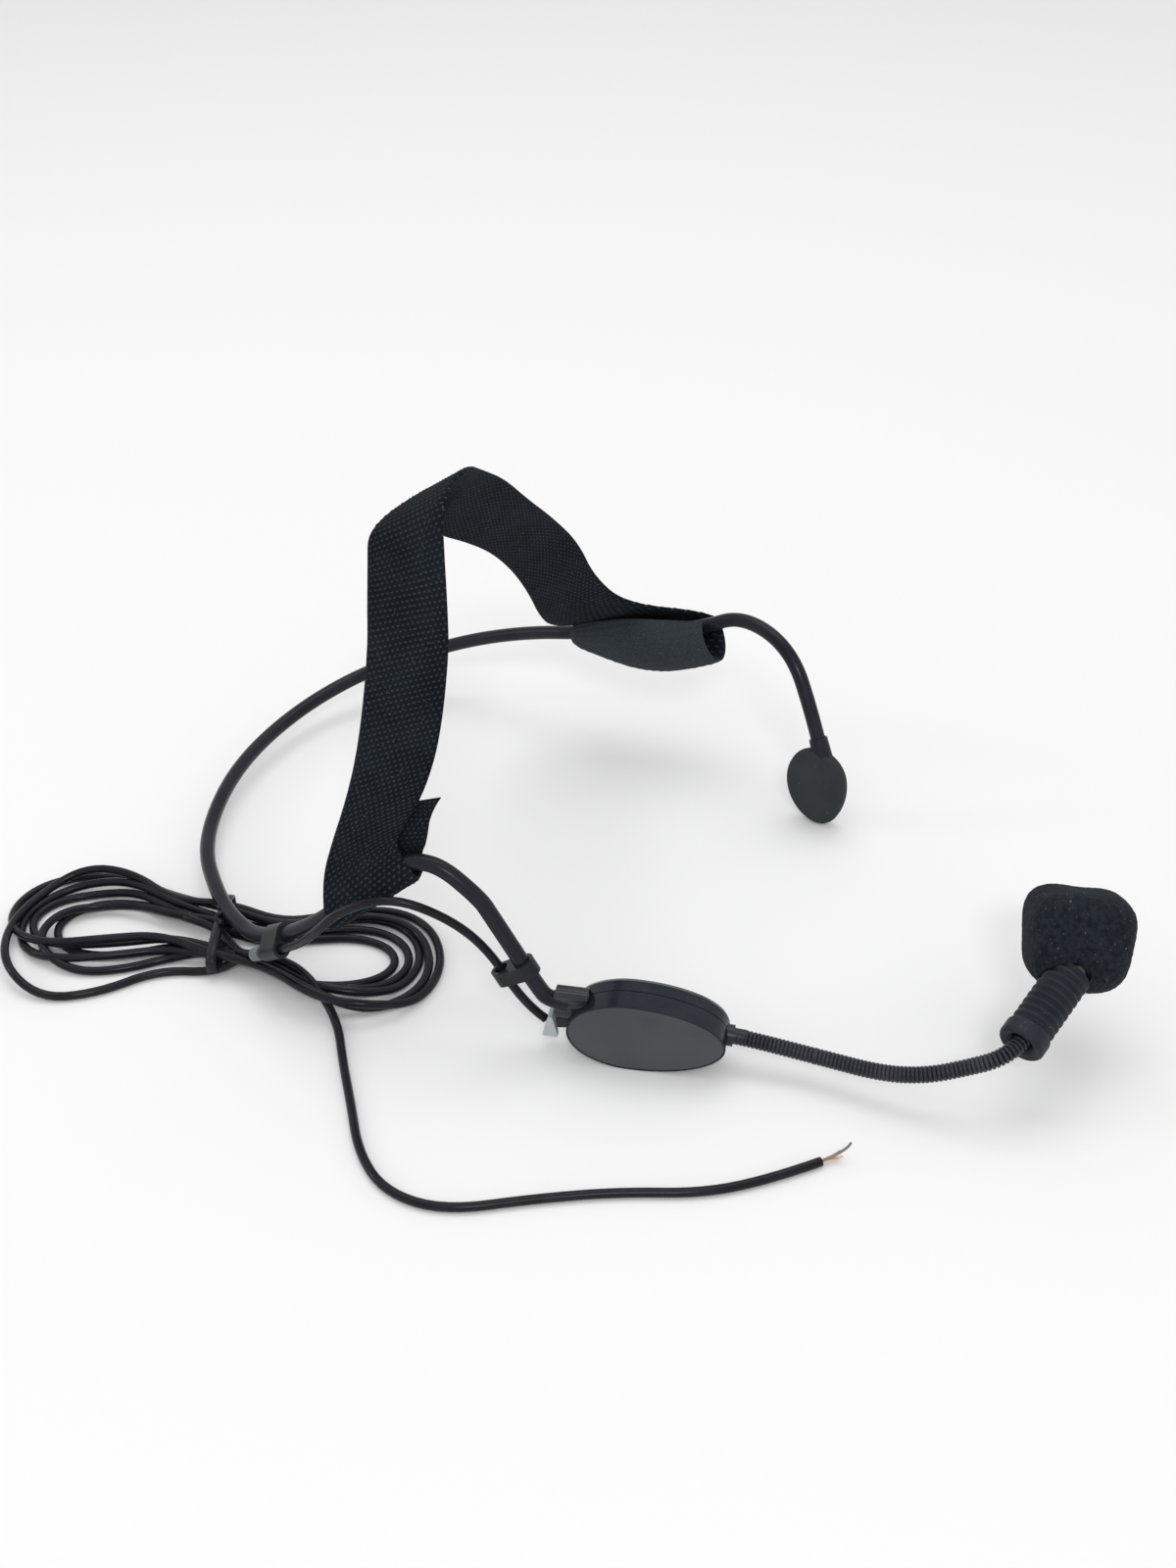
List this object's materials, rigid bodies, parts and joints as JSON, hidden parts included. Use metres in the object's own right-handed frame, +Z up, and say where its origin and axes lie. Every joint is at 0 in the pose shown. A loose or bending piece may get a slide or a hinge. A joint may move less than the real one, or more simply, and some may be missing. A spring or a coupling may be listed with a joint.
{
  "type": "headset microphone",
  "caption": "Behind-the-neck headset microphone: wire band with ear hooks, head strap, cheek housing, gooseneck boom with foam windscreen, ear pad and a tied cord with a bare end.",
  "frame": {"origin": "under the middle of the headset, on the surface that it stands on, cord left out", "axes": "+Z up from the table, +X the wearer's forward direction, +Y the wearer's left"},
  "size_m": [0.2925, 0.2166, 0.1354],
  "materials": {
    "sheath": "satin vinyl",
    "spring_wire": "drawn",
    "socket": "gloss",
    "shell": "gloss",
    "cover": "matte",
    "screws": "blackened",
    "board": "matte",
    "solder": "bright",
    "grommet": "matte",
    "relief": "satin",
    "ferrule": "satin",
    "nut": "plain",
    "gooseneck": "satin",
    "boom_lead": "matte",
    "mic_sleeve": "matte",
    "capsule": "satin",
    "element": "matte",
    "grille": "satin",
    "ring": "matte",
    "foam": "open-cell foam",
    "pad": "matte",
    "webbing": "ribbed weave",
    "clip": "satin",
    "cord": "gloss vinyl",
    "heat_shrink": "satin",
    "tie": "satin",
    "copper": "bright"
  },
  "bodies": {
    "headset": {"neck_sheath": "sheath", "neck_wire": "spring_wire", "band_socket": "socket", "housing_front_shell": "shell", "housing_back_shell": "shell", "housing_cover": "cover", "cover_screws": "screws", "terminal_board": "board", "solder_joints": "solder", "cord_grommet": "grommet", "relief_wedge": "relief", "boom_ferrule": "ferrule", "boom_nut": "nut", "strap_loop_near": "webbing", "strap_loop_far": "webbing", "cord_lead": "cord", "cord_hank": "cord", "cord_tail": "cord", "cord_sleeve": "heat_shrink", "hank_tie": "tie", "cord_core": "copper"},
    "boom_base": {"gooseneck_base": "gooseneck", "boom_lead_base": "boom_lead"},
    "boom_middle": {"gooseneck_middle": "gooseneck", "boom_lead_middle": "boom_lead"},
    "microphone": {"gooseneck_tip": "gooseneck", "boom_lead_tip": "boom_lead", "mic_sleeve": "mic_sleeve", "capsule_can": "capsule", "capsule_element": "element", "capsule_grille": "grille", "capsule_ring": "ring"},
    "windscreen": {"windscreen": "foam"},
    "ear_pad": {"ear_pad": "pad", "pad_neck": "pad"},
    "strap": {"strap_span": "webbing"},
    "front_clip": {"front_clip": "clip"},
    "rear_clip": {"rear_clip": "clip"}
  },
  "joints": [
    {"name": "boom_lift", "type": "hinge", "parent": "headset", "child": "boom_base", "pos_m": [0.0644, -0.0355, 0.0098], "axis": [0.4226, -0.9063, 0], "range_deg": [-25, 45]},
    {"name": "boom_sweep", "type": "hinge", "parent": "boom_base", "child": "boom_middle", "pos_m": [0.101, -0.0262, 0.0094], "axis": [0, 0, 1], "range_deg": [-35, 35]},
    {"name": "mic_tilt", "type": "hinge", "parent": "boom_middle", "child": "microphone", "pos_m": [0.1205, -0.018, 0.016], "axis": [0.507, -0.862, 0], "range_deg": [-35, 35]},
    {"name": "windscreen_pull", "type": "slide", "parent": "microphone", "child": "windscreen", "axis": [0.08, 0.9552, 0.285], "range_m": [0, 0.016]},
    {"name": "pad_turn", "type": "hinge", "parent": "headset", "child": "ear_pad", "pos_m": [0.0255, 0.075, 0.025], "axis": [0.4382, -0.1992, -0.8765], "range_deg": [-30, 30]},
    {"name": "strap_swing", "type": "hinge", "parent": "headset", "child": "strap", "pos_m": [-0.032, -0.0776, 0.0433], "axis": [-0.1076, 0.9942, -0.004], "range_deg": [-20, 3.5]},
    {"name": "front_clip_slide", "type": "slide", "parent": "headset", "child": "front_clip", "axis": [-0.494, -0.1453, 0.8572], "range_m": [-0.002, 0.002]},
    {"name": "rear_clip_slide", "type": "slide", "parent": "headset", "child": "rear_clip", "axis": [-0.8175, 0.0654, -0.5722], "range_m": [-0.002, 0]}
  ]
}
